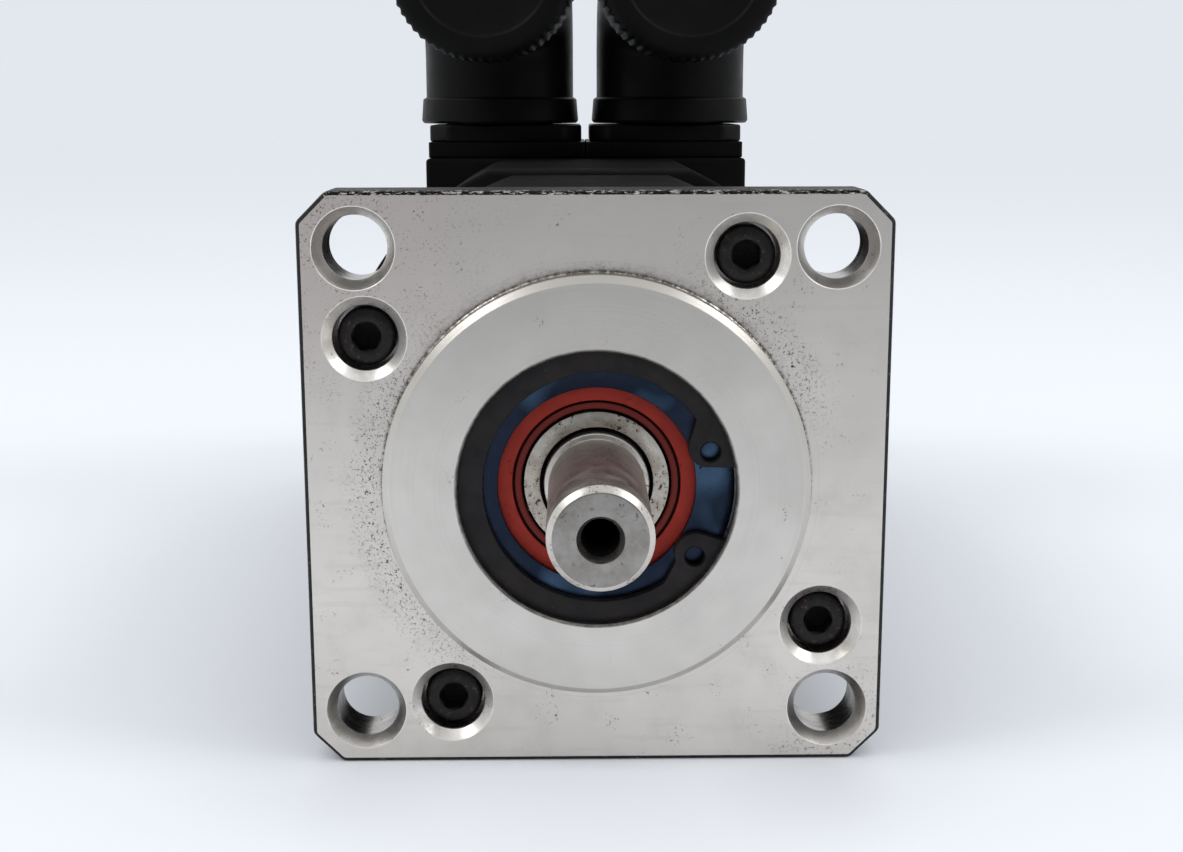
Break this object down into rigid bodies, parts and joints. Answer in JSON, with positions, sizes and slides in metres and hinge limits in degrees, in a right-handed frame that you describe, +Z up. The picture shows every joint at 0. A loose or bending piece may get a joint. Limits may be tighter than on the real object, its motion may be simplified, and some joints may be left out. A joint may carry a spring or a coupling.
{
  "type": "inline gear reducer",
  "caption": "Inline planetary gear reducer on its servo motor: square mounting flange with pilot boss and keyless shaft, round angled connectors on top.",
  "frame": {"origin": "under the middle of the assembly, on the surface that it lies on", "axes": "-Y along the output shaft, out of the flange; +Z up, towards the connectors; +X to the right seen from the shaft end"},
  "size_m": [0.055, 0.148, 0.0929],
  "materials": {
    "flange_metal": "bare, fine milled, lightly scuffed",
    "case_metal": "bare, fine turned",
    "black_metal": "black anodised satin",
    "connector_metal": "black coated satin",
    "blued_steel": "blued spring steel",
    "circlip_steel": "phosphated, oiled",
    "seal_rubber": "red moulded rubber",
    "bearing_steel": "ground and polished",
    "shaft_steel": "ground",
    "screw_steel": "black oxide",
    "gear_steel": "hobbed, oiled",
    "winding_copper": "enamelled copper",
    "lamination_steel": "stacked laminations",
    "magnet_coat": "nickel plated",
    "encoder_metal": "etched",
    "cap_plastic": "moulded black",
    "insert_plastic": "moulded dark grey",
    "board_resin": "green solder resist",
    "plug_plastic": "moulded black"
  },
  "bodies": {
    "housing": {"output_flange": "flange_metal", "retaining_ring": "circlip_steel", "support_ring": "blued_steel", "front_bearing_outer_ring": "bearing_steel", "front_bearing_seal": "seal_rubber", "rear_bearing_outer_ring": "bearing_steel", "bearing_spacer": "gear_steel", "flange_screw_1": "screw_steel", "flange_screw_2": "screw_steel", "flange_screw_3": "screw_steel", "flange_screw_4": "screw_steel", "gear_housing": "black_metal", "ring_gear": "gear_steel", "adapter_plate": "black_metal", "access_plug": "plug_plastic", "adapter_screw_1": "screw_steel", "adapter_screw_2": "screw_steel", "adapter_screw_3": "screw_steel", "adapter_screw_4": "screw_steel", "motor_housing": "black_metal", "stator_core": "lamination_steel", "stator_winding": "winding_copper", "motor_front_bearing_outer_ring": "bearing_steel", "motor_rear_bearing_outer_ring": "bearing_steel", "rear_bracket": "case_metal", "encoder_board": "board_resin", "rear_cover": "black_metal", "tie_bolt_1": "screw_steel", "tie_bolt_2": "screw_steel", "tie_bolt_3": "screw_steel", "tie_bolt_4": "screw_steel", "power_connector_base": "connector_metal", "signal_connector_base": "connector_metal"},
    "output_shaft": {"output_shaft": "shaft_steel", "front_bearing_inner_ring": "bearing_steel", "rear_bearing_inner_ring": "bearing_steel", "planet_pin_1": "bearing_steel", "planet_pin_2": "bearing_steel", "planet_pin_3": "bearing_steel"},
    "planet_1": {"planet_gear_1": "gear_steel"},
    "planet_2": {"planet_gear_2": "gear_steel"},
    "planet_3": {"planet_gear_3": "gear_steel"},
    "front_balls": {"front_bearing_balls": "bearing_steel"},
    "rear_balls": {"rear_bearing_balls": "bearing_steel"},
    "motor_shaft": {"sun_pinion": "gear_steel", "clamp_collar": "gear_steel", "clamp_screw": "screw_steel", "rotor_shaft": "shaft_steel", "rotor_core": "lamination_steel", "rotor_magnet": "magnet_coat", "motor_front_bearing_inner_ring": "bearing_steel", "motor_rear_bearing_inner_ring": "bearing_steel", "encoder_disc": "encoder_metal"},
    "power_elbow": {"power_connector_elbow": "connector_metal", "power_contact_insert": "insert_plastic"},
    "signal_elbow": {"signal_connector_elbow": "connector_metal", "signal_contact_insert": "insert_plastic"},
    "power_cap": {"power_dust_cap": "cap_plastic"},
    "signal_cap": {"signal_dust_cap": "cap_plastic"}
  },
  "joints": [
    {"name": "motor_spin", "type": "hinge", "parent": "housing", "child": "motor_shaft", "pos_m": [0, -0.054, 0.0275], "axis": [0, -1, 0], "continuous": true},
    {"name": "output_spin", "type": "hinge", "parent": "housing", "child": "output_shaft", "pos_m": [0, -0.054, 0.0275], "axis": [0, -1, 0], "continuous": true},
    {"name": "planet_1_spin", "type": "hinge", "parent": "output_shaft", "child": "planet_1", "pos_m": [0, -0.054, 0.041], "axis": [0, -1, 0], "continuous": true},
    {"name": "planet_2_spin", "type": "hinge", "parent": "output_shaft", "child": "planet_2", "pos_m": [-0.01169, -0.054, 0.02075], "axis": [0, -1, 0], "continuous": true},
    {"name": "planet_3_spin", "type": "hinge", "parent": "output_shaft", "child": "planet_3", "pos_m": [0.01169, -0.054, 0.02075], "axis": [0, -1, 0], "continuous": true},
    {"name": "front_balls_spin", "type": "hinge", "parent": "housing", "child": "front_balls", "pos_m": [0, -0.054, 0.0275], "axis": [0, -1, 0], "continuous": true},
    {"name": "rear_balls_spin", "type": "hinge", "parent": "housing", "child": "rear_balls", "pos_m": [0, -0.054, 0.0275], "axis": [0, -1, 0], "continuous": true},
    {"name": "power_elbow_turn", "type": "hinge", "parent": "housing", "child": "power_elbow", "pos_m": [0.0127, 0.046, 0.0275], "axis": [0, 0, 1], "range_deg": [0, 170]},
    {"name": "power_cap_pull", "type": "slide", "parent": "power_elbow", "child": "power_cap", "axis": [0.0349, -0.9994, 0], "range_m": [0, 0.018]},
    {"name": "signal_elbow_turn", "type": "hinge", "parent": "housing", "child": "signal_elbow", "pos_m": [-0.0127, 0.046, 0.0275], "axis": [0, 0, 1], "range_deg": [-170, 0]},
    {"name": "signal_cap_pull", "type": "slide", "parent": "signal_elbow", "child": "signal_cap", "axis": [-0.0349, -0.9994, 0], "range_m": [0, 0.018]}
  ],
  "couplings": [
    {"joint": "output_spin", "follows": "motor_spin", "ratio": 0.25},
    {"joint": "planet_1_spin", "follows": "motor_spin", "ratio": -0.75},
    {"joint": "planet_2_spin", "follows": "motor_spin", "ratio": -0.75},
    {"joint": "planet_3_spin", "follows": "motor_spin", "ratio": -0.75},
    {"joint": "front_balls_spin", "follows": "motor_spin", "ratio": 0.093},
    {"joint": "rear_balls_spin", "follows": "motor_spin", "ratio": 0.093}
  ]
}
